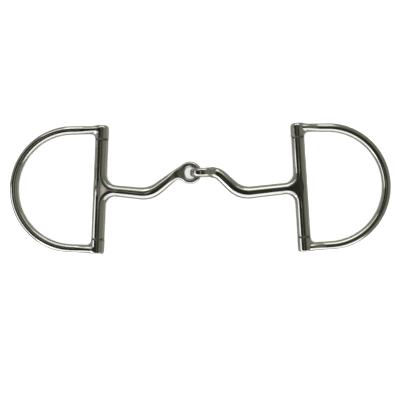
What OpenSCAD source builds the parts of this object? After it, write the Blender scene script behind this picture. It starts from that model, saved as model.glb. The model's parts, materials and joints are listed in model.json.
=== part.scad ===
// Hinged D-ring snaffle bit with a single-jointed mouthpiece, in millimetres.
// It lies at rest on a flat surface: +X runs along the mouthpiece from the left
// ring to the right ring, +Y along the ring bars, +Z up. The origin is on the
// surface, midway between the two bars.
// Each half is drawn in its own flat frame, with the bar along Y, the mouthpiece
// arm leaving it along +X and the ring on the -X side, and is then set in place.

/* [Mouthpiece] */
// Clear width of the mouth, between the two barrels
mouth_w = 127; // [110:1:150]
// Diameter of each barrel, which turns between the ring knuckles
barrel_d = 8.7; // [8.2:0.1:8.8]
// Length of each barrel
barrel_len = 66.8; // [56:0.2:67]
// Thickness of an arm where it leaves the barrel
arm_root_d = 7.4; // [6.6:0.1:8.4]
// Thickness of an arm at its lower bend
arm_bend_d = 8.2; // [7:0.1:9]
// Radius of the fillet between an arm and its barrel
arm_fillet_r = 6.5; // [3:0.5:9]
// Angle at which an arm droops as it leaves the barrel
arm_droop = 3; // [0:0.5:6]

/* [Centre link] */
// Outer diameter of the flat eye on the left arm
eye_outer_d = 15.1; // [14.6:0.1:18]
// Thickness of the eye's wire
eye_wire_d = 3.5; // [3:0.05:3.8]
// Outer diameter of the upright loop on the right arm
loop_outer_d = 15.7; // [15.2:0.1:18]
// Thickness of the loop's wire, measured in the plane of the loop
loop_wire_t = 3.8; // [3.4:0.1:4]
// Width of the loop's wire, measured across the plane of the loop
loop_wire_w = 5.4; // [4.4:0.1:5.4]
// Distance of the link from the middle of the mouth, towards the left
link_offset = 0.9; // [0:0.1:1.2]

/* [Rings] */
// Depth of each ring, from the bar's axis to the outside of the bow
ring_depth = 61.1; // [56:0.1:66]
// Height of each bar, over both knuckles
bar_len = 86.8; // [84:0.2:90]
// Diameter of the ring wire
ring_wire_d = 5.8; // [5:0.1:6]
// Outer radius of the round part of the bow
bow_outer_r = 42.8; // [42.6:0.1:43.2]
// Angle at which the upper end of the ring rises to its knuckle
ring_rise = 3.8; // [3:0.1:6]
// Diameter of the knuckles
knuckle_d = 8.9; // [8.8:0.1:10]
// Radius of the fillet inside the corner between ring wire and knuckle
corner_r = 3.3; // [2:0.1:3.4]

/* [Hinges] */
// Diameter of each hinge pin
pin_d = 4.6; // [3:0.1:5]
// Diameter of the riveted head at each end of a pin
pin_head_d = 5.6; // [5.2:0.1:5.7]
// Gap between a pin and the bore of its barrel, on the radius
pin_clearance = 0.06; // [0.02:0.01:0.1]
// Gap between a barrel's end and a knuckle
seam = 0.3; // [0.2:0.05:0.5]

/* [Rest pose] */
// Angle at which each bar leans in at its upper end
lean = 3; // [0:0.5:5]

/* [Hidden] */

$fn = 96;
steel = "silver";
pin_steel = "gray";

// A straight bar runs this far into a bend and is this much slimmer than it
lap = 0.6;
lap_step = 0.1;

// Cuts run this far past the surfaces that they open
past = 1;

// Bar and barrels
bar_x = mouth_w / 2 + barrel_d / 2;
bar_z = knuckle_d / 2;
head_depth = 0.9;
knuckle_edge = 1.6;
wire_seat = 0.5;

// Link: the left eye's wire is the pin on which the right loop turns
link_y = 10.35;
link_gap = 0.3;
eye_r = (eye_outer_d - eye_wire_d) / 2;
loop_r = (loop_outer_d - loop_wire_t) / 2;
loop_shift = loop_outer_d / 2 - (loop_wire_t + link_gap + eye_wire_d / 2);

// A point dx from a half's bar and y above the origin, seen in that half's flat frame
function flat_x(dx, y) = dx * cos(lean) - y * sin(lean);
function flat_y(dx, y) = dx * sin(lean) + y * cos(lean);
left_dx = bar_x - link_offset;
right_dx = bar_x + link_offset;
left_run = flat_x(left_dx, link_y);
right_run = flat_x(right_dx, link_y);

// Arms and rings tilt about their bars until the loop and the bows touch the surface
loop_run = right_run - loop_shift * cos(lean);
right_tilt = atan((loop_outer_d / 2 - bar_z) / loop_run);
left_tilt = atan(right_run * tan(right_tilt) / left_run);
ring_tilt = asin((knuckle_d - ring_wire_d) / 2 / (ring_depth - ring_wire_d / 2));

// Link, eye and loop in the flat frames
left_link = [left_run / cos(left_tilt), flat_y(left_dx, link_y)];
right_link = [right_run / cos(right_tilt), flat_y(right_dx, link_y)];
eye_at = left_link - eye_r * [cos(lean), sin(lean)];
loop_at = right_link - loop_shift * [cos(lean), sin(lean)];

// Bow
bow_r = bow_outer_r - ring_wire_d / 2;
bow_drop = 0.75;
bow_at = [bow_outer_r - ring_depth, -bow_drop];
corner_t = 4.4;

// Distances from the link back to the corners of each arm, along X
left_bend_back = 32.3;
right_bend_back = 26.8;
shoulder_back = 12.6;

// Arm centrelines, as corner points that bends of bend_r and shoulder_r round off
bend_r = 15;
left_bend_x = left_link[0] - left_bend_back;
right_bend_x = right_link[0] - right_bend_back;
bend_y = -left_bend_x * tan(arm_droop);
shoulder_y = 13.2;
left_bend = [left_bend_x, bend_y];
right_bend = [right_bend_x, bend_y];
right_shoulder = [right_link[0] - shoulder_back, shoulder_y];
shoulder_d = 7.5;
shoulder_r = 9;
left_neck_d = 5.6;
right_neck_d = 6.2;

// Where the left arm's centreline runs out, beside the middle of its eye
eye_reach = [-3, 4.2];

// ---- Placing ----

// Sets a half's flat frame in the whole bit
module left_half(tilt) {
    translate([-bar_x, 0, bar_z])
        rotate([0, 0, -lean])
            rotate([0, -tilt, 0])
                children();
}

module right_half(tilt) {
    mirror([1, 0, 0])
        left_half(tilt)
            children();
}

// Stands something drawn along Z up along the bar, on Y
module along_bar() {
    rotate([-90, 0, 0])
        children();
}

// ---- Round bars ----

function heading(a, b) = atan2(b[1] - a[1], b[0] - a[0]);

// Length of straight bar that a bend of radius r takes away on each side of a corner
function bend_cut(a, b, c, r) = r * tan(abs(heading(b, c) - heading(a, b)) / 2);

// Straight round bar from point a to point b, less a length at each end
module rod(a, b, d_a, d_b, cut_a = 0, cut_b = 0) {
    translate([a[0], a[1], 0])
        rotate([0, 0, heading(a, b)])
            translate([cut_a - lap, 0, 0])
                rotate([0, 90, 0])
                    cylinder(
                        d1 = d_a - lap_step,
                        d2 = d_b - lap_step,
                        h = norm(b - a) - cut_a - cut_b + 2 * lap
                    );
}

// Round bar bent at corner b, on the way from a to c
module bend(a, b, c, r, d) {
    turn = heading(b, c) - heading(a, b);
    side = sign(turn);
    translate([b[0], b[1], 0])
        rotate([0, 0, heading(a, b)])
            translate([-bend_cut(a, b, c, r), side * r, 0])
                rotate([0, 0, side > 0 ? -90 : 90 + turn])
                    rotate_extrude(angle = abs(turn))
                        translate([r, 0])
                            circle(d = d);
}

// ---- Rings ----

// Knuckle with its foot at the seam and a rounded outer end
module knuckle() {
    len = (bar_len - barrel_len) / 2 - seam;
    difference() {
        rotate_extrude() {
            square([knuckle_d / 2 - knuckle_edge, len]);
            square([knuckle_d / 2, len - knuckle_edge]);
            translate([knuckle_d / 2 - knuckle_edge, len - knuckle_edge])
                circle(r = knuckle_edge);
        }
        translate([0, 0, -past])
            cylinder(d = pin_d, h = len + 2 * past);
        translate([0, 0, len - head_depth])
            cylinder(d1 = pin_d, d2 = pin_head_d, h = head_depth);
        translate([0, 0, len])
            cylinder(d = pin_head_d, h = past);
    }
}

// Web that fills the corner inside the ring, between its wire and a knuckle
module corner_web(inner_y) {
    out = knuckle_d / 2 + corner_r;
    translate([0, 0, -corner_t / 2])
        linear_extrude(corner_t)
            difference() {
                translate([-out, inner_y - corner_r])
                    square([corner_r + past, corner_r + past]);
                translate([-out, inner_y - corner_r])
                    circle(r = corner_r);
            }
}

module cheek_ring() {
    top_start = bow_at + bow_r * [-sin(ring_rise), cos(ring_rise)];
    top_end = [0, top_start[1] - top_start[0] * tan(ring_rise)];
    bottom_y = bow_at[1] - bow_r;
    inner_top = top_end[1] - ring_wire_d / 2 - knuckle_d / 2 * tan(ring_rise);
    inner_bottom = -bottom_y - ring_wire_d / 2;
    difference() {
        union() {
            translate([bow_at[0], bow_at[1], 0])
                rotate([0, 0, 90 + ring_rise])
                    rotate_extrude(angle = 180 - ring_rise)
                        translate([bow_r, 0])
                            circle(d = ring_wire_d);
            rod(top_start, top_end, ring_wire_d, ring_wire_d);
            rod([bow_at[0], bottom_y], [0, bottom_y], ring_wire_d, ring_wire_d);
            corner_web(inner_top);
            mirror([0, 1, 0])
                corner_web(inner_bottom);
        }
        along_bar()
            cylinder(d = knuckle_d - 2 * wire_seat, h = bar_len + 2 * past, center = true);
    }
    for (side = [0, 1])
        mirror([0, side, 0])
            translate([0, barrel_len / 2 + seam, 0])
                along_bar()
                    knuckle();
}

// Pin through both knuckles and the barrel, riveted flush at each end
module hinge_pin() {
    along_bar() {
        cylinder(d = pin_d, h = bar_len, center = true);
        for (side = [0, 1])
            mirror([0, 0, side])
                translate([0, 0, bar_len / 2 - head_depth])
                    cylinder(d1 = pin_d, d2 = pin_head_d, h = head_depth);
    }
}

// ---- Mouthpiece ----

module barrel() {
    along_bar()
        cylinder(d = barrel_d, h = barrel_len, center = true);
}

module barrel_bore() {
    along_bar()
        cylinder(d = pin_d + 2 * pin_clearance, h = barrel_len + 2 * past, center = true);
}

// Flare where an arm grows out of its barrel, no thicker than the arm
module root_flare() {
    reach = barrel_d / 2 + arm_fillet_r;
    intersection() {
        rotate([0, 0, -arm_droop])
            rotate([0, 90, 0])
                rotate_extrude()
                    difference() {
                        square([arm_root_d / 2 + arm_fillet_r, reach]);
                        translate([arm_root_d / 2 + arm_fillet_r, reach])
                            circle(r = arm_fillet_r);
                    }
        cube([2 * (reach + past), bar_len, arm_root_d - lap], center = true);
    }
}

// Flat closed eye, lying in the plane of the bar
module eye() {
    translate([eye_at[0], eye_at[1], 0])
        rotate_extrude()
            translate([eye_r, 0])
                circle(d = eye_wire_d);
}

module eye_hole() {
    translate([eye_at[0], eye_at[1], -arm_bend_d])
        cylinder(r = eye_r, h = 2 * arm_bend_d);
}

module left_arm() {
    root = [0, 0];
    slope_end = eye_at + eye_reach;
    cut = bend_cut(root, left_bend, slope_end, bend_r);
    difference() {
        union() {
            barrel();
            root_flare();
            rod(root, left_bend, arm_root_d, arm_bend_d, 0, cut);
            bend(root, left_bend, slope_end, bend_r, arm_bend_d);
            difference() {
                rod(left_bend, slope_end, arm_bend_d, left_neck_d, cut, 0);
                eye_hole();
            }
            eye();
        }
        barrel_bore();
    }
}

// Closed loop that stands across the plane of the bar
module loop() {
    flat = loop_wire_w - loop_wire_t;
    translate([loop_at[0], loop_at[1], 0])
        rotate([0, 0, lean])
            rotate([90, 0, 0])
                rotate_extrude()
                    translate([loop_r, 0]) {
                        square([loop_wire_t, flat], center = true);
                        for (side = [-1, 1])
                            translate([0, side * flat / 2])
                                circle(d = loop_wire_t);
                    }
}

module right_arm() {
    root = [0, 0];
    low_cut = bend_cut(root, right_bend, right_shoulder, bend_r);
    high_cut = bend_cut(right_bend, right_shoulder, loop_at, shoulder_r);
    difference() {
        union() {
            barrel();
            root_flare();
            rod(root, right_bend, arm_root_d, arm_bend_d, 0, low_cut);
            bend(root, right_bend, right_shoulder, bend_r, arm_bend_d);
            rod(right_bend, right_shoulder, arm_bend_d, shoulder_d, low_cut, high_cut);
            bend(right_bend, right_shoulder, loop_at, shoulder_r, shoulder_d);
            rod(right_shoulder, loop_at, shoulder_d, right_neck_d, high_cut, loop_r);
            loop();
        }
        barrel_bore();
    }
}

// ---- The six pieces ----

module left_cheek_ring() {
    color(steel)
        left_half(ring_tilt)
            cheek_ring();
}

module left_hinge_pin() {
    color(pin_steel)
        left_half(ring_tilt)
            hinge_pin();
}

module left_mouthpiece_arm() {
    color(steel)
        left_half(left_tilt)
            left_arm();
}

module right_mouthpiece_arm() {
    color(steel)
        right_half(right_tilt)
            right_arm();
}

module right_hinge_pin() {
    color(pin_steel)
        right_half(ring_tilt)
            hinge_pin();
}

module right_cheek_ring() {
    color(steel)
        right_half(ring_tilt)
            cheek_ring();
}

left_cheek_ring();
left_hinge_pin();
left_mouthpiece_arm();
right_mouthpiece_arm();
right_hinge_pin();
right_cheek_ring();
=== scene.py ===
import json
import math

import bpy
import numpy as np
from mathutils import Matrix, Vector


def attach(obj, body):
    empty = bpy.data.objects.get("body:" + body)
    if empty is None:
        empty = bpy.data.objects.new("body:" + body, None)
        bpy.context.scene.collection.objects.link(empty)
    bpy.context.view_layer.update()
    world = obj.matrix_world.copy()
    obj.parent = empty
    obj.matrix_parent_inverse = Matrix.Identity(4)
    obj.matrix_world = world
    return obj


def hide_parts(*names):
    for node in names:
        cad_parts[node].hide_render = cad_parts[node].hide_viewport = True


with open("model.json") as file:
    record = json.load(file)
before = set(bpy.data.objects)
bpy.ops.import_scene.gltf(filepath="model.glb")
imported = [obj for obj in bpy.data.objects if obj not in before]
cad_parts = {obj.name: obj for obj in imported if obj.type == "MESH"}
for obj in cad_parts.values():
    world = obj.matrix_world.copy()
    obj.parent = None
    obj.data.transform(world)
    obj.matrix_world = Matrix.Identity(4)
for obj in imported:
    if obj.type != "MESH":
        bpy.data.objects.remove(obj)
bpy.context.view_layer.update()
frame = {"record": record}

# A hinged D-ring snaffle bit in polished stainless steel, lying on a pale surface.
# Shapes are distance fields in millimetres, each in the flat frame of one half of the
# bit: the bar lies along Y, the arm leaves it along +X and the ring is on the -X side.

MM = 0.001

# ---- Sizes in millimetres. A SPAN is where a change starts and ends. ----

# Barrel, with the fillet at the arm's root and the span in which the arm takes its own thickness
BARREL_R = 4.35
BARREL_HALF = 33.4
BARREL_EDGE = 0.35
BORE_R = 2.36
ARM_FILLET = 6.5
ARM_ROOT_SPAN = (1.0, 13.0)

# Knuckles. The seam beside the barrel is cut only within SEAM_REACH of the bar.
KNUCKLE_R = 4.447
SEAM = 0.3
SEAM_EDGE = 0.35
SEAM_REACH = 9
BAR_HALF = 43.36
TOP_EDGE = 2.4
BOTTOM_EDGE = 1.1

# Bow: an arc between a level lower leg and an upper leg that rises by TOP_LEG_RISE degrees
WIRE_R = 2.89
BOW_R = 39.9
BOW_AT = np.array([-18.3, -0.75])
TOP_LEG = 24
TOP_LEG_RISE = 3.8

# The wire's half height where it meets a knuckle, and the fillet there, tighter above and below
WIRE_ROOT_HEIGHT = KNUCKLE_R - 0.4
WIRE_ROOT_SPAN = (4.0, 15.0)
RING_FILLET = 3.2
RING_FILLET_TIGHT = 0.6
RING_FILLET_SPAN = (0.6, 3.8)

# Pin, with a conical head that is domed, and the rounding of the ring's hole beside it
PIN_R = 2.3
PIN_PLAY = 0.01
PIN_HEAD_R = 2.8
PIN_HEAD_DEPTH = 0.9
PIN_DOME = 0.12
PIN_RIM = 0.12
PIN_RIM_DROP = 0.08
PIN_HEAD_PLAY = 0.03
PIN_CONE_PLAY = 0.05
PIN_GROOVE = 0.22
PIN_SIDES = 72
PIN_MIDDLE_RING = 11.0

# Left arm's eye, with the web where the arm runs into it: wide on one side, tight on the other
EYE_R = 5.8
EYE_WIRE_R = 1.75
EYE_NECK_SPAN = (8.0, 16.0)
WEB_FILLET = 3.5
WEB_FILLET_TIGHT = 0.6
WEB_SPAN = (3.0, 7.0)

# Right arm's loop, upright and flat sided, with the shoulder where the arm runs into it
LOOP_R = 5.95
LOOP_HALF_T = 1.895
LOOP_FLAT = 0.8
LOOP_SHIFT = 2.0
LOOP_HOLE_EDGE = 0.5
LOOP_FILLET = 2.4
LOOP_FILLET_TIGHT = 0.6
LOOP_FILLET_SPAN = (LOOP_R - 0.5, LOOP_R + 3.0)
SHOULDER_SWELL = 0.65
SHOULDER_SPAN = (0.0, 6.0)

# Meshing: the size of a cell, and the room left round each piece
MESH_STEP = 0.3
ROOM = 0.8
EYE_ROOM = 2.6
LOOP_ROOM = 2.7
# Arms and wires stop this near the bar's axis. The slopes are how fast distances change past a cut.
CUT_AT = 1
CUT_SLOPE = 2
SEAM_CUT_SLOPE = 40

# Patches of painted shade in corners of the steel: how dark, then centre and width along X, then along Y
BARREL_FILLET_SHADE = (0.35, (5.5, 3.0), (6.5, 4.0))
RING_CORNER_SHADE = (0.4, (-5.5, 1.6), (36.2, 1.6))
# Painted shade in lines beside the seams, on the ring round the pin's head and on the head's own rim
SEAM_SHADE = 1.2
SEAM_SHADE_PAST_KNUCKLE = 0.5
PIN_HEAD_SHADE = 0.3
PIN_HEAD_SHADE_DEPTH = 1
PIN_RIM_SHADE = 0.5
# The painted shade inside the eye fades away from its middle, and deepens across it in the direction given
# below
EYE_SHADE_SPAN = (EYE_R - 1.2, EYE_R - 0.2)
EYE_SHADE_DIR = (1, -0.5)
EYE_SHADE_SIDE_SPAN = (-3.0, 1.5)


# ---- Where the halves lie, from the frame ----

JOINTS = {j["name"]: j for j in frame["record"]["behaviour"]["joints"]}
BAR = np.array(JOINTS["left_ring_hinge"]["pos_m"]) / MM
LINK = np.array(JOINTS["centre_link"]["pos_m"]) / MM
BAR_AXIS = JOINTS["left_ring_hinge"]["axis"]
LEAN = math.atan2(BAR_AXIS[0], BAR_AXIS[1])
LEAN_DIR = np.array([math.cos(LEAN), math.sin(LEAN)])


def flat_link(dx):
    """The link in the flat frame of a half whose bar is dx away from it, and that half's tilt."""
    run = dx * math.cos(LEAN) - LINK[1] * math.sin(LEAN)
    along = dx * math.sin(LEAN) + LINK[1] * math.cos(LEAN)
    tilt = math.atan2(LINK[2] - BAR[2], run)
    return np.array([run / math.cos(tilt), along]), tilt


LEFT_LINK, LEFT_TILT = flat_link(LINK[0] - BAR[0])
RIGHT_LINK, RIGHT_TILT = flat_link(-BAR[0] - LINK[0])
RING_DEPTH = BOW_R + WIRE_R - BOW_AT[0]
RING_TILT = math.asin((BAR[2] - WIRE_R) / (RING_DEPTH - WIRE_R))
EYE_AT = LEFT_LINK - EYE_R * LEAN_DIR
LOOP_AT = RIGHT_LINK - LOOP_SHIFT * LEAN_DIR


def half_matrix(tilt, right):
    """Takes a half's flat frame into the whole bit, all in millimetres."""
    place = Matrix.Translation(BAR) @ Matrix.Rotation(-LEAN, 4, "Z") @ Matrix.Rotation(-tilt, 4, "Y")
    if right:
        place = Matrix.Scale(-1, 4, (1, 0, 0)) @ place
    return np.array(place)


# ---- Joining distances ----

def round_min(a, b, r):
    """Union with a fillet of radius r."""
    return np.maximum(r, np.minimum(a, b)) - np.hypot(np.maximum(r - a, 0), np.maximum(r - b, 0))


def round_max(a, b, r):
    """Intersection with an edge rounded to radius r."""
    return -round_min(-a, -b, r)


def ease(x, start, end):
    """0 before start and 1 after end, with a smooth change between."""
    t = np.clip((x - start) / (end - start), 0, 1)
    return t * t * (3 - 2 * t)


def between(a, b, t):
    """a where t is 0 and b where t is 1."""
    return a + (b - a) * t


def curve_through(s, knots):
    """Smooth values at s of a curve through knots of (place, value)."""
    at, value = np.array(knots, float).T
    slope = np.gradient(value, at)
    s = np.clip(s, at[0], at[-1])
    i = np.clip(np.searchsorted(at, s) - 1, 0, len(at) - 2)
    step = at[i + 1] - at[i]
    t = (s - at[i]) / step
    return (
        (1 + 2 * t) * (1 - t) ** 2 * value[i]
        + t * (1 - t) ** 2 * step * slope[i]
        + t * t * (3 - 2 * t) * value[i + 1]
        + t * t * (t - 1) * step * slope[i + 1]
    )


# ---- Centrelines ----

def course(start, heading, steps):
    """A centreline of straights and arcs. Each step is (length, turn in degrees)."""
    x, y = start
    a = math.radians(heading)
    s = 0.0
    pieces = []
    for length, turn in steps:
        bend = math.radians(turn) / length
        pieces.append((x, y, a, length, bend, s))
        if bend:
            x += (math.sin(a + bend * length) - math.sin(a)) / bend
            y -= (math.cos(a + bend * length) - math.cos(a)) / bend
        else:
            x += length * math.cos(a)
            y += length * math.sin(a)
        a += bend * length
        s += length
    return pieces


def nearest_on_straight(x, y, x0, y0, a, length):
    """How far along a straight the nearest place to each point is, and where that place is."""
    t = np.clip((x - x0) * math.cos(a) + (y - y0) * math.sin(a), 0, length)
    return t, x0 + t * math.cos(a), y0 + t * math.sin(a)


def nearest_on_arc(x, y, x0, y0, a, length, bend):
    """The same for an arc that turns by bend, in radians, in each millimetre."""
    cx = x0 - math.sin(a) / bend
    cy = y0 + math.cos(a) / bend
    sx, sy = x0 - cx, y0 - cy
    px, py = x - cx, y - cy
    turned = np.arctan2(sx * py - sy * px, sx * px + sy * py)
    t = np.clip(turned / bend, 0, length)
    c, s = np.cos(t * bend), np.sin(t * bend)
    return t, cx + sx * c - sy * s, cy + sx * s + sy * c


def from_course(pieces, x, y):
    """Distance of each point from a centreline, and how far along it the nearest place is."""
    near = np.full(x.shape, np.inf)
    along = np.zeros(x.shape)
    for x0, y0, a, length, bend, s0 in pieces:
        if bend:
            t, qx, qy = nearest_on_arc(x, y, x0, y0, a, length, bend)
        else:
            t, qx, qy = nearest_on_straight(x, y, x0, y0, a, length)
        d = np.hypot(x - qx, y - qy)
        closer = d < near
        near = np.where(closer, d, near)
        along = np.where(closer, s0 + t, along)
    return near, along


def bent_course(corners, radii):
    """A centreline through corner points, each inner corner rounded to a radius."""
    pts = np.array(corners, float)
    legs = np.diff(pts, axis=0)
    heads = np.arctan2(legs[:, 1], legs[:, 0])
    lengths = np.hypot(legs[:, 0], legs[:, 1])
    turns = np.diff(heads)
    cuts = np.concatenate([[0], np.array(radii) * np.tan(np.abs(turns) / 2), [0]])
    steps = []
    for i, length in enumerate(lengths):
        steps.append((length - cuts[i] - cuts[i + 1], 0))
        if i < len(turns):
            steps.append((radii[i] * abs(turns[i]), math.degrees(turns[i])))
    return course(pts[0], math.degrees(heads[0]), steps)


# Each arm's bends and their radii, its end, and its own radius as (distance along it, radius)
LEFT_BEND = np.array([34.3, -2.0])
LEFT_BEND_R = 17
LEFT_END = EYE_AT + np.array([-3.0, 4.2])
LEFT_COURSE = bent_course([(0, 0), LEFT_BEND, LEFT_END], [LEFT_BEND_R])
LEFT_R = [
    (0, 3.65), (14, 3.75), (26, 3.95), (33, 4.15),
    (41, 3.85), (51, 3.35), (58, 2.9), (64, 2.4),
]
RIGHT_SHIFT = 0.15
RIGHT_BENDS = [(41.4, -1.8), (55.6, 13.3)]
RIGHT_BEND_RADII = [16, 9.5]
RIGHT_END = LOOP_AT + np.array([0, RIGHT_SHIFT])
RIGHT_COURSE = bent_course([(0, RIGHT_SHIFT), *RIGHT_BENDS, RIGHT_END], RIGHT_BEND_RADII)
RIGHT_R = [
    (0, 3.7), (14, 3.8), (30, 3.95), (39, 4.1), (47, 4.0),
    (55, 3.8), (62, 3.55), (69, 3.2), (76, 2.9),
]

# Nearly the left arm's slope. The eye's web is wide on one side of this direction, tight on the other.
WEB_LIFT = 0.2
WEB_LEG = LEFT_END - (LEFT_BEND + np.array([0, WEB_LIFT]))
WEB_DIR = WEB_LEG / np.hypot(*WEB_LEG)

BOW_TURN = 180 - TOP_LEG_RISE
RING_COURSE = course(
    (0, BOW_AT[1] - BOW_R),
    180,
    [(-BOW_AT[0], 0), (math.radians(BOW_TURN) * BOW_R, -BOW_TURN), (TOP_LEG, 0)],
)


# ---- The four forged pieces as distance fields ----

def swelled(plan, half_t, z):
    """A shape with the outline plan, round at its sides and half_t thick above and below its middle."""
    return np.hypot(np.maximum(plan + half_t, 0), z) - half_t


def bar_ends(d, x, y, z):
    """Trims a barrel to its length and bores it for the pin."""
    d = round_max(d, np.abs(y) - BARREL_HALF, BARREL_EDGE)
    return round_max(d, BORE_R - np.hypot(x, z), BARREL_EDGE / 2)


def barrel_and_arm(pieces, radii, x, y):
    """Outline and half thickness of a barrel with its arm."""
    near, along = from_course(pieces, x, y)
    near = near + CUT_SLOPE * np.maximum(CUT_AT - x, 0)
    arm_r = curve_through(along, radii)
    plan = round_min(np.abs(x) - BARREL_R, near - arm_r, ARM_FILLET)
    return plan, between(BARREL_R, arm_r, ease(x, *ARM_ROOT_SPAN))


def left_arm_field(p):
    """Barrel, arm and flat eye."""
    x, y, z = p.T
    plan, half_t = barrel_and_arm(LEFT_COURSE, LEFT_R, x, y)
    dx, dy = x - EYE_AT[0], y - EYE_AT[1]
    out = np.hypot(dx, dy)
    eye = np.abs(out - EYE_R) - EYE_WIRE_R
    plan = np.maximum(plan, EYE_R - out)
    above = dy * WEB_DIR[0] - dx * WEB_DIR[1]
    fillet = between(WEB_FILLET, WEB_FILLET_TIGHT, ease(above, *WEB_SPAN))
    plan = round_min(plan, eye, fillet)
    half_t = between(EYE_WIRE_R, half_t, ease(out, *EYE_NECK_SPAN))
    return bar_ends(swelled(plan, half_t, z), x, y, z)


def right_arm_field(p):
    """Barrel, arm and upright loop, which swells towards the arm."""
    x, y, z = p.T
    plan, half_t = barrel_and_arm(RIGHT_COURSE, RIGHT_R, x, y)
    arm = swelled(plan, half_t, z)
    dx, dy = x - LOOP_AT[0], y - LOOP_AT[1]
    out = np.hypot(dx * LEAN_DIR[0] + dy * LEAN_DIR[1], z)
    swell = SHOULDER_SWELL * ease(-dx, *SHOULDER_SPAN)
    side = dy * LEAN_DIR[0] - dx * LEAN_DIR[1] - swell / 2
    past_flat = np.maximum(np.abs(side) - LOOP_FLAT - swell / 2, 0)
    loop = np.hypot(out - LOOP_R, past_flat) - LOOP_HALF_T
    arm = round_max(arm, LOOP_R - out, LOOP_HOLE_EDGE)
    fillet = between(LOOP_FILLET_TIGHT, LOOP_FILLET, ease(out, *LOOP_FILLET_SPAN))
    return bar_ends(round_min(arm, loop, fillet), x, y, z)


def ring_field(p):
    """Bow and two knuckles, with the countersunk hole for the pin."""
    x, y, z = p.T
    near, _ = from_course(RING_COURSE, x, y)
    from_bar = np.hypot(x, z)
    height = between(WIRE_R, WIRE_ROOT_HEIGHT, 1 - ease(-x, *WIRE_ROOT_SPAN))
    wire = WIRE_R * (np.hypot(near / WIRE_R, z / height) - 1)
    wire = wire + CUT_SLOPE * np.maximum(x + CUT_AT, 0)
    fillet = between(RING_FILLET, RING_FILLET_TIGHT, ease(np.abs(z), *RING_FILLET_SPAN))
    d = round_min(wire, from_bar - KNUCKLE_R, fillet)
    d = round_max(d, np.abs(y) - BAR_HALF, np.where(y > 0, TOP_EDGE, BOTTOM_EDGE))
    past_seam = BARREL_HALF + SEAM - np.abs(y) - SEAM_CUT_SLOPE * np.maximum(-x - SEAM_REACH, 0)
    d = round_max(d, past_seam, SEAM_EDGE)
    hole = PIN_R - from_bar
    mouth = PIN_HEAD_R - from_bar - (BAR_HALF - np.abs(y)) * (PIN_HEAD_R - PIN_R) / PIN_HEAD_DEPTH
    return round_max(d, np.maximum(hole, mouth), PIN_GROOVE)


# ---- From fields to meshes ----

def crossed_edges(f, axis):
    """Grid edges along axis that the surface crosses: first corner, crossing point, if it starts outside."""
    cells = f.shape[axis] - 1
    a = np.take(f, range(cells), axis)
    b = np.take(f, range(1, cells + 1), axis)
    corner = np.argwhere((a < 0) != (b < 0))
    fa, fb = a[tuple(corner.T)], b[tuple(corner.T)]
    point = corner.astype(float)
    point[:, axis] += fa / (fa - fb)
    return corner, point, fa > 0


def cells_around(corner, strides, axis):
    """Numbers of the four cells around each grid edge along axis."""
    first = corner @ strides
    u = strides[(axis + 1) % 3]
    v = strides[(axis + 2) % 3]
    return np.stack([first, first - u, first - u - v, first - v], 1)


def field_net(field, low, high):
    """Points near the surface where field is 0, and the quads that join them."""
    axes = [np.arange(a, b + MESH_STEP, MESH_STEP) for a, b in zip(low, high)]
    grid = np.stack(np.meshgrid(*axes, indexing="ij"), -1)
    f = field(grid.reshape(-1, 3)).reshape(grid.shape[:3])
    cells = np.array(f.shape) - 1
    strides = np.array([cells[1] * cells[2], cells[2], 1])
    total = np.zeros((cells.prod(), 3))
    count = np.zeros(cells.prod())
    quads = []
    for axis in range(3):
        corner, point, outside = crossed_edges(f, axis)
        loop = cells_around(corner, strides, axis)
        for cell in loop.T:
            for k in range(3):
                total[:, k] += np.bincount(cell, point[:, k], len(total))
            count += np.bincount(cell, minlength=len(count))
        loop[outside] = loop[outside][:, ::-1]
        quads.append(loop)
    used = count > 0
    number = np.cumsum(used) - 1
    verts = total[used] / count[used, None] * MESH_STEP + np.array(low)
    return verts, number[np.concatenate(quads)]


def gradient(field, v, h=1e-3):
    """Which way and how fast the field grows at each point."""
    g = [(field(v + h * e) - field(v - h * e)) / (2 * h) for e in np.eye(3)]
    return np.stack(g, 1)


def pulled(field, verts, least_steepness=0.05):
    """Points moved towards the surface where field is 0."""
    g = gradient(field, verts)
    steepness = np.maximum((g * g).sum(1), least_steepness)
    move = np.clip(field(verts) / steepness, -MESH_STEP, MESH_STEP)
    return verts - move[:, None] * g


def settle(field, verts, quads, rounds=4, evening=0.5):
    """Evens out the points and brings them onto the surface."""
    ends = np.concatenate([quads[:, [i, (i + 1) % 4]] for i in range(4)])
    ends = np.concatenate([ends, ends[:, ::-1]])
    neighbours = np.bincount(ends[:, 0], minlength=len(verts))
    for _ in range(rounds):
        total = [np.bincount(ends[:, 0], verts[ends[:, 1], i]) for i in range(3)]
        mean = np.stack(total, 1) / neighbours[:, None]
        verts = verts + evening * (mean - verts)
        verts = pulled(field, verts)
        verts = pulled(field, verts)
    return verts


def linked_piece(name, mesh, painted_shade):
    """An object in the scene with this mesh and, at each point, how much shade is painted on its steel."""
    shade = mesh.attributes.new("painted_shade", "FLOAT", "POINT")
    shade.data.foreach_set("value", painted_shade)
    piece = bpy.data.objects.new(name, mesh)
    bpy.context.scene.collection.objects.link(piece)
    return piece


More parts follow.
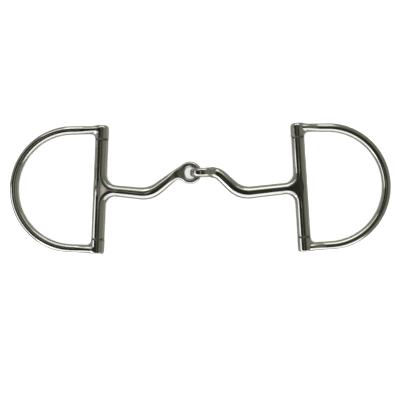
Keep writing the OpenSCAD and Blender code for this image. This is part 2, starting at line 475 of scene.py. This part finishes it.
def piece_from_mesh(name, verts, quads, normals, painted_shade, matrix):
    """A Blender object from points and normals in a flat frame, in millimetres."""
    turn = matrix[:3, :3]
    verts = (verts @ turn.T + matrix[:3, 3]) * MM
    normals = normals @ turn.T
    if np.linalg.det(turn) < 0:
        quads = quads[:, ::-1]
    mesh = bpy.data.meshes.new(name)
    mesh.vertices.add(len(verts))
    mesh.vertices.foreach_set("co", verts.ravel())
    mesh.loops.add(quads.size)
    mesh.loops.foreach_set("vertex_index", quads.ravel())
    mesh.polygons.add(len(quads))
    mesh.polygons.foreach_set("loop_start", np.arange(0, quads.size, quads.shape[1]))
    mesh.update(calc_edges=True)
    mesh.validate()
    mesh.polygons.foreach_set("use_smooth", np.ones(len(mesh.polygons), bool))
    mesh.normals_split_custom_set_from_vertices(normals)
    return linked_piece(name, mesh, painted_shade)


def forged(name, field, box, tilt, right, painted_shade_of):
    """A piece made from its distance field within box. The last argument gives how much shade is painted at
    each point, from 0 to 1.
    """
    verts, quads = field_net(field, *box)
    verts = settle(field, verts, quads)
    normals = gradient(field, verts)
    normals /= np.linalg.norm(normals, axis=1, keepdims=True)
    return piece_from_mesh(name, verts, quads, normals, painted_shade_of(verts), half_matrix(tilt, right))


# ---- Where shade is painted on the steel ----

def hump(x, centre, width):
    """1 at centre, falling away smoothly over about a width."""
    return np.exp(-((x - centre) / width) ** 2)


def patch(v, amount, across, along):
    """A patch of painted shade, the same towards both ends of the bar."""
    return amount * hump(v[:, 0], *across) * hump(np.abs(v[:, 1]), *along)


def arm_painted_shade(v):
    """Painted shade beside the seams and a little in the fillets beside the barrel."""
    seam = ease(np.abs(v[:, 1]), BARREL_HALF - SEAM_SHADE, BARREL_HALF)
    return np.clip(seam + patch(v, *BARREL_FILLET_SHADE), 0, 1)


def left_arm_painted_shade(v):
    """Painted shade as on the other arm, and more inside the eye, darker towards one side."""
    dx, dy = v[:, 0] - EYE_AT[0], v[:, 1] - EYE_AT[1]
    inside = 1 - ease(np.hypot(dx, dy), *EYE_SHADE_SPAN)
    side = ease(EYE_SHADE_DIR[0] * dx + EYE_SHADE_DIR[1] * dy, *EYE_SHADE_SIDE_SPAN)
    return np.clip(arm_painted_shade(v) + inside * side, 0, 1)


def ring_painted_shade(v):
    """Painted shade beside the seams, round the pin heads and in the corners of the ring."""
    from_bar = np.hypot(v[:, 0], v[:, 2])
    from_middle = np.abs(v[:, 1])
    seam = 1 - ease(from_middle, BARREL_HALF + SEAM, BARREL_HALF + SEAM + SEAM_SHADE)
    on_knuckle = from_bar < KNUCKLE_R + SEAM_SHADE_PAST_KNUCKLE
    at_end = ease(from_middle, BAR_HALF - PIN_HEAD_SHADE_DEPTH, BAR_HALF)
    head = hump(from_bar, PIN_HEAD_R, PIN_HEAD_SHADE) * at_end
    return np.clip(seam * on_knuckle + head + patch(v, *RING_CORNER_SHADE), 0, 1)


# ---- Pins ----

# The dome as (share of the head's radius, share of the dome's drop)
PIN_DOME_SHARES = [(0.35, 0.12), (0.7, 0.5)]
# Radius and height of each ring of points on a pin's upper half: dome, rim, cone and shank
PIN_TOP = [(PIN_HEAD_R * out, BAR_HALF - PIN_DOME * drop) for out, drop in PIN_DOME_SHARES] + [
    (PIN_HEAD_R - PIN_RIM, BAR_HALF - PIN_DOME),
    (PIN_HEAD_R - PIN_HEAD_PLAY, BAR_HALF - PIN_DOME - PIN_RIM_DROP),
    (PIN_R - PIN_PLAY, BAR_HALF - PIN_HEAD_DEPTH - PIN_CONE_PLAY),
    (PIN_R - PIN_PLAY, BARREL_HALF + 1),
    (PIN_R - PIN_PLAY, PIN_MIDDLE_RING),
]


def pin_points(rings):
    """A pin's points: its upper centre, then each ring of them, then its lower centre."""
    turn = np.linspace(0, 2 * np.pi, PIN_SIDES, endpoint=False)
    points = [np.array([[0, BAR_HALF, 0]])]
    for r, h in rings:
        points.append(np.stack([r * np.sin(turn), np.full(PIN_SIDES, h), r * np.cos(turn)], 1))
    points.append(np.array([[0, -BAR_HALF, 0]]))
    return np.concatenate(points)


def pin_faces(ring_count):
    """A pin's faces: two fans at its ends and bands between its rings of points."""
    faces = []
    last = 1 + ring_count * PIN_SIDES
    foot = last - PIN_SIDES
    for i in range(PIN_SIDES):
        j = (i + 1) % PIN_SIDES
        faces.append((0, 1 + i, 1 + j))
        for k in range(ring_count - 1):
            a = 1 + k * PIN_SIDES
            b = a + PIN_SIDES
            faces.append((a + i, b + i, b + j, a + j))
        faces.append((last, foot + j, foot + i))
    return faces


def pin_piece(name, right):
    """A turned pin with a countersunk, slightly domed head riveted flush at each end."""
    rings = PIN_TOP + [(r, -h) for r, h in reversed(PIN_TOP)]
    verts = pin_points(rings)
    faces = pin_faces(len(rings))
    matrix = half_matrix(RING_TILT, right)
    world = (verts @ matrix[:3, :3].T + matrix[:3, 3]) * MM
    if right:
        faces = [f[::-1] for f in faces]
    mesh = bpy.data.meshes.new(name)
    mesh.from_pydata(world.tolist(), [], faces)
    mesh.polygons.foreach_set("use_smooth", np.ones(len(mesh.polygons), bool))
    # Painted shade on each head's rim, beside the groove round it
    painted_shade = ease(np.hypot(verts[:, 0], verts[:, 2]), PIN_HEAD_R - PIN_RIM_SHADE, PIN_HEAD_R)
    return linked_piece(name, mesh, painted_shade)


# ---- Shader nodes ----

# Where a Mix node that works on colours has its two colours and its result
MIX_A = 6
MIX_B = 7
MIX_RESULT = 2


def add_node(tree, kind, inputs):
    """A new node. inputs gives, for each socket, the output that feeds it or its constant value."""
    node = tree.nodes.new(kind)
    for socket, value in inputs.items():
        if isinstance(value, bpy.types.NodeSocket):
            tree.links.new(value, node.inputs[socket])
        else:
            node.inputs[socket].default_value = value
    return node


def noise(tree, place, scale, detail, stretch=(1, 1, 1)):
    """Noise from 0 to 1, of a size set by scale, squeezed along each axis by stretch."""
    mapping = add_node(tree, "ShaderNodeMapping", {"Vector": place, "Scale": stretch})
    inputs = {"Vector": mapping.outputs["Vector"], "Scale": scale, "Detail": detail}
    return add_node(tree, "ShaderNodeTexNoise", inputs).outputs["Fac"]


def remap(tree, value, start, end):
    """Maps the range start onto the range end."""
    inputs = {
        "Value": value,
        "From Min": start[0],
        "From Max": start[1],
        "To Min": end[0],
        "To Max": end[1],
    }
    return add_node(tree, "ShaderNodeMapRange", inputs).outputs["Result"]


def blend(tree, fac, under, over):
    """The colour under where fac is 0 and the colour over where it is 1."""
    node = tree.nodes.new("ShaderNodeMix")
    node.data_type = "RGBA"
    tree.links.new(fac, node.inputs["Factor"])
    for index, colour in ((MIX_A, under), (MIX_B, over)):
        if isinstance(colour, bpy.types.NodeSocket):
            tree.links.new(colour, node.inputs[index])
        else:
            node.inputs[index].default_value = (*colour, 1)
    return node.outputs[MIX_RESULT]


def add(tree, a, b):
    """The sum of two values."""
    node = add_node(tree, "ShaderNodeMath", {0: a, 1: b})
    node.operation = "ADD"
    return node.outputs[0]


# ---- Steel ----

# Tints, times a steel's brightness
WARM = (1.0, 0.985, 0.94)
COOL = (0.93, 0.93, 0.9)
FILM = (0.8, 0.77, 0.7)
# The last tint is painted shade, mixed in at the seams, in the corners and inside the eye
PAINTED_SHADE_TINT = (0.34, 0.32, 0.27)

# Noise scales of the marks, which are finer as the number grows
PATCH_SCALE = 55
WAVE_SCALE = 95
POLISH_SCALE = 130
FILM_SCALE = 420
HAIR_SCALE = 700
HAIR_STRETCHES = ((0.15, 3, 3), (3, 0.15, 3))
# Heights of the bumps in metres
WAVE_HEIGHT = 0.00006
HAIR_HEIGHT = 0.000004
# How much the film hides, how far the polish varies and how much rougher the steel is where shade is painted
FILM_COVER = 0.35
POLISH_SPREAD = (0.75, 1.35)
PAINTED_SHADE_ROUGHNESS = 0.22


def steel_colour(tree, place, painted_shade, bright):
    """Warm and cool patches under a thin broken film, darkened towards a shade tint where shade is painted.
    """
    warm, cool, film, shade_colour = (tuple(bright * c for c in tint) for tint in (WARM, COOL, FILM, PAINTED_SHADE_TINT))
    patches = remap(tree, noise(tree, place, PATCH_SCALE, detail=3), (0.35, 0.65), (0, 1))
    covered = remap(tree, noise(tree, place, FILM_SCALE, detail=4), (0.55, 0.8), (0, FILM_COVER))
    colour = blend(tree, patches, warm, cool)
    colour = blend(tree, covered, colour, film)
    return blend(tree, painted_shade, colour, shade_colour)


def steel_roughness(tree, place, painted_shade, rough):
    """Uneven polish, rougher where shade is painted."""
    uneven = noise(tree, place, POLISH_SCALE, detail=4)
    spread = [rough * times for times in POLISH_SPREAD]
    polish = remap(tree, uneven, (0.3, 0.7), spread)
    return add(tree, polish, remap(tree, painted_shade, (0, 1), (0, PAINTED_SHADE_ROUGHNESS)))


def steel_normal(tree, place, grain):
    """Gentle waves with hairline marks in two directions."""
    wave = noise(tree, place, WAVE_SCALE, detail=1)
    waves = add_node(tree, "ShaderNodeBump", {"Height": wave, "Distance": WAVE_HEIGHT, "Strength": 0.5})
    first, second = (noise(tree, place, HAIR_SCALE, 3, stretch) for stretch in HAIR_STRETCHES)
    inputs = {
        "Height": add(tree, first, second),
        "Distance": HAIR_HEIGHT,
        "Strength": grain,
        "Normal": waves.outputs["Normal"],
    }
    return add_node(tree, "ShaderNodeBump", inputs).outputs["Normal"]


def steel(name, bright, rough, grain):
    """Polished stainless steel: a faint warm tint, uneven polish, hairline marks and painted shade at the
    seams and in the corners.
    """
    mat = bpy.data.materials.new(name)
    mat.use_nodes = True
    tree = mat.node_tree
    bsdf = tree.nodes["Principled BSDF"]
    bsdf.inputs["Metallic"].default_value = 1.0
    bsdf.inputs["Specular IOR Level"].default_value = 0.5
    place = tree.nodes.new("ShaderNodeTexCoord").outputs["Object"]
    # How much shade is painted at each point: it darkens the colour and adds roughness
    attribute = tree.nodes.new("ShaderNodeAttribute")
    attribute.attribute_name = "painted_shade"
    painted_shade = attribute.outputs["Fac"]
    tree.links.new(steel_colour(tree, place, painted_shade, bright), bsdf.inputs["Base Color"])
    tree.links.new(steel_roughness(tree, place, painted_shade, rough), bsdf.inputs["Roughness"])
    tree.links.new(steel_normal(tree, place, grain), bsdf.inputs["Normal"])
    return mat


RING_STEEL = steel("ring_steel", bright=0.60, rough=0.13, grain=0.6)
MOUTH_STEEL = steel("mouthpiece_steel", bright=0.60, rough=0.12, grain=0.6)
RIVET_STEEL = steel("rivet_steel", bright=0.52, rough=0.24, grain=1.0)


# ---- The pieces ----

LEFT_ARM_BOX = (
    (-BARREL_R - ROOM, -BARREL_HALF - ROOM, -BARREL_R - ROOM),
    (LEFT_LINK[0] + EYE_ROOM, BARREL_HALF + ROOM, BARREL_R + ROOM),
)
RIGHT_ARM_BOX = (
    (-BARREL_R - ROOM, -BARREL_HALF - ROOM, -LOOP_R - LOOP_ROOM),
    (LOOP_AT[0] + LOOP_R + LOOP_ROOM, BARREL_HALF + ROOM, LOOP_R + LOOP_ROOM),
)
RING_BOX = (
    (-RING_DEPTH - ROOM, -BAR_HALF - ROOM, -KNUCKLE_R - ROOM),
    (KNUCKLE_R + ROOM, BAR_HALF + ROOM, KNUCKLE_R + ROOM),
)


def dress(piece, material, body, node):
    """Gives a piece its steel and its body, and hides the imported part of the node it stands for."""
    piece.data.materials.append(material)
    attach(piece, body)
    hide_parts(node)


def arms():
    """The two mouthpiece arms. An eye ends the left one and a loop the right one."""
    left = forged("left_arm_forged", left_arm_field, LEFT_ARM_BOX, LEFT_TILT, False, left_arm_painted_shade)
    dress(left, MOUTH_STEEL, "left_arm", "left_mouthpiece_arm")
    right = forged("right_arm_forged", right_arm_field, RIGHT_ARM_BOX, RIGHT_TILT, True, arm_painted_shade)
    dress(right, MOUTH_STEEL, "right_arm", "right_mouthpiece_arm")


def cheeks():
    """On each side the ring and the pin that turns with it."""
    for side in ("left", "right"):
        right = side == "right"
        ring = forged(f"{side}_ring_cast", ring_field, RING_BOX, RING_TILT, right, ring_painted_shade)
        dress(ring, RING_STEEL, f"{side}_cheek", f"{side}_cheek_ring")
        pin = pin_piece(f"{side}_pin_turned", right)
        dress(pin, RIVET_STEEL, f"{side}_cheek", f"{side}_hinge_pin")


# ---- Floor, light and camera ----

FLOOR_HALF = 3.0

# The room's colours. Each band fades in between two values of one part of the direction looked in.
ROOM_DARK = (0.026, 0.027, 0.021)
ROOM_BANDS = [
    ("Y", 0.25, 0.75, (0.25, 0.25, 0.19)),
    ("X", 0.15, 0.7, (0.24, 0.245, 0.185)),
    ("Z", 0.02, -0.12, (0.42, 0.42, 0.36)),
    ("Z", -0.45, -0.85, (0.26, 0.26, 0.22)),
]


def floor():
    """A matt pale floor that the steel does not mirror."""
    mesh = bpy.data.meshes.new("floor")
    r = FLOOR_HALF
    mesh.from_pydata([(-r, -r, 0), (r, -r, 0), (r, r, 0), (-r, r, 0)], [], [(0, 1, 2, 3)])
    plane = bpy.data.objects.new("floor", mesh)
    bpy.context.scene.collection.objects.link(plane)
    mat = bpy.data.materials.new("floor")
    mat.use_nodes = True
    bsdf = mat.node_tree.nodes["Principled BSDF"]
    bsdf.inputs["Base Color"].default_value = (0.9, 0.9, 0.9, 1)
    bsdf.inputs["Roughness"].default_value = 0.9
    bsdf.inputs["Specular IOR Level"].default_value = 0.0
    mesh.materials.append(mat)
    plane.visible_glossy = False


def panel(name, at, size, power, colour=(1, 1, 1), mirrored=True, level=False):
    """A soft rectangular light facing the bit, or straight down if level. mirrored: the steel shows it."""
    light = bpy.data.lights.new(name, "AREA")
    light.shape = "RECTANGLE"
    light.size, light.size_y = size
    light.energy = power
    light.color = colour
    lamp = bpy.data.objects.new(name, light)
    lamp.location = at
    if not level:
        lamp.rotation_euler = (-Vector(at)).to_track_quat("-Z", "Y").to_euler()
    lamp.visible_glossy = mirrored
    lamp.visible_camera = False
    bpy.context.scene.collection.objects.link(lamp)


def studio_surround():
    """A dim room: olive grey behind and to the right, paler low down and dark elsewhere."""
    world = bpy.data.worlds.new("studio")
    bpy.context.scene.world = world
    world.use_nodes = True
    tree = world.node_tree
    place = tree.nodes.new("ShaderNodeTexCoord").outputs["Generated"]
    split = add_node(tree, "ShaderNodeSeparateXYZ", {"Vector": place})
    colour = ROOM_DARK
    for part, start, end, tint in ROOM_BANDS:
        inputs = {"Value": split.outputs[part], "From Min": start, "From Max": end}
        band = add_node(tree, "ShaderNodeMapRange", inputs)
        band.interpolation_type = "SMOOTHSTEP"
        colour = blend(tree, band.outputs["Result"], colour, tint)
    tree.links.new(colour, tree.nodes["Background"].inputs["Color"])


def lighting():
    """Panels that the steel mirrors, and one wide fill that it does not, for the floor."""
    studio_surround()
    panel("front_softbox", (0, -0.75, 0.20), (1.7, 0.8), 6.7)
    panel("back_softbox", (0, 0.8, 0.36), (0.75, 0.5), 1.5)
    panel("left_softbox", (-0.80, -0.36, 0.26), (0.92, 0.42), 2.05)
    panel("left_card", (-0.85, 0.32, 0.26), (0.5, 0.42), 0.20, (1, 1, 0.88))
    panel("left_corner_softbox", (-0.42, 0.62, 0.46), (0.35, 0.26), 0.36, (1, 1, 0.93))
    panel("near_softbox", (0.085, 0.175, 0.155), (0.14, 0.08), 0.028, (1, 1, 0.93))
    panel("ceiling_card", (-0.03, 0.12, 1.0), (0.05, 0.16), 0.007, (1, 1, 0.82), level=True)
    panel("ceiling_strip", (-0.222, 0, 1.0), (0.10, 0.5), 0.04, (1, 0.98, 0.9), level=True)
    panel("ceiling_glow", (-0.25, 0.01, 1.01), (0.17, 0.08), 0.026, (1, 0.90, 0.81), level=True)
    panel("top_fill", (0, 0, 1.2), (1.6, 1.6), 34, mirrored=False, level=True)


def camera():
    """Looks straight down, turned a little so that the bit lies as it does on the page."""
    data = bpy.data.cameras.new("camera")
    data.sensor_width = 36
    data.lens = 56.7
    data.clip_start = 0.01
    cam = bpy.data.objects.new("camera", data)
    cam.location = (-0.00033, -0.00794, 0.4295)
    cam.rotation_euler = (0, 0, math.radians(-0.66))
    bpy.context.scene.collection.objects.link(cam)
    bpy.context.scene.camera = cam


arms()
cheeks()
floor()
lighting()
camera()
bpy.context.scene.view_settings.view_transform = "Standard"
